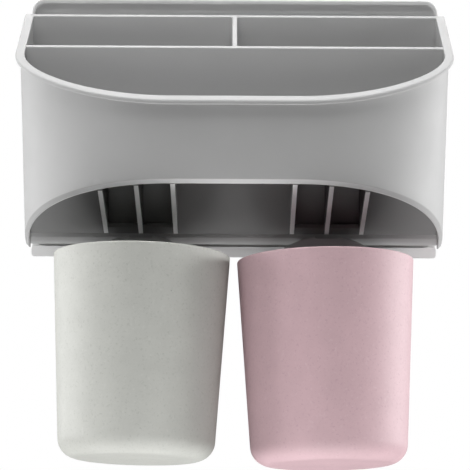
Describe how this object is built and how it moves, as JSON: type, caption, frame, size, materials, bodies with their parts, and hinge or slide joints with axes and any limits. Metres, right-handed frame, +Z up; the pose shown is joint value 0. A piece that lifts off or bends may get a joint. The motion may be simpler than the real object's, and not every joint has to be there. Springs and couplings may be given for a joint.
{
  "type": "toothbrush holder",
  "caption": "Wall-mounted bathroom organiser with a bowed front, open compartments, a ribbed rack for hanging brushes underneath, and tapered cups that hang on magnets.",
  "frame": {"origin": "middle of the adhesive pad's back face, on the wall", "axes": "+X to the right of someone who looks at the wall, +Y into the wall, +Z up"},
  "size_m": [0.1976, 0.1098, 0.2137],
  "materials": {
    "plate_grey": "satin",
    "body_grey": "satin",
    "rack_grey": "satin",
    "paddle_grey": "satin",
    "pad_foam": "foam",
    "magnet_nickel": "nickel plated",
    "cup_stone": "speckled, pale greenish grey",
    "cup_pink": "speckled, dusty pink"
  },
  "bodies": {
    "wall_mount": {"wall_plate": "plate_grey", "wall_adhesive_pad": "pad_foam"},
    "organiser": {"organiser_body": "body_grey", "brush_rack": "rack_grey", "cup_paddle_left": "paddle_grey", "cup_paddle_right": "paddle_grey", "paddle_magnet_left": "magnet_nickel", "paddle_magnet_right": "magnet_nickel"},
    "left_cup": {"cup_left": "cup_stone", "cup_magnet_left": "magnet_nickel", "cup_magnet_cap_left": "cup_stone"},
    "right_cup": {"cup_right": "cup_pink", "cup_magnet_right": "magnet_nickel", "cup_magnet_cap_right": "cup_pink"}
  },
  "joints": [
    {"name": "organiser_lift", "type": "slide", "parent": "wall_mount", "child": "organiser", "axis": [0, 0, 1], "range_m": [0, 0.04]},
    {"name": "cup_left_pull", "type": "slide", "parent": "organiser", "child": "left_cup", "axis": [0, -0.9631, 0.269], "range_m": [0, 0.03]},
    {"name": "cup_right_pull", "type": "slide", "parent": "organiser", "child": "right_cup", "axis": [0, -0.9631, 0.269], "range_m": [0, 0.03]}
  ]
}
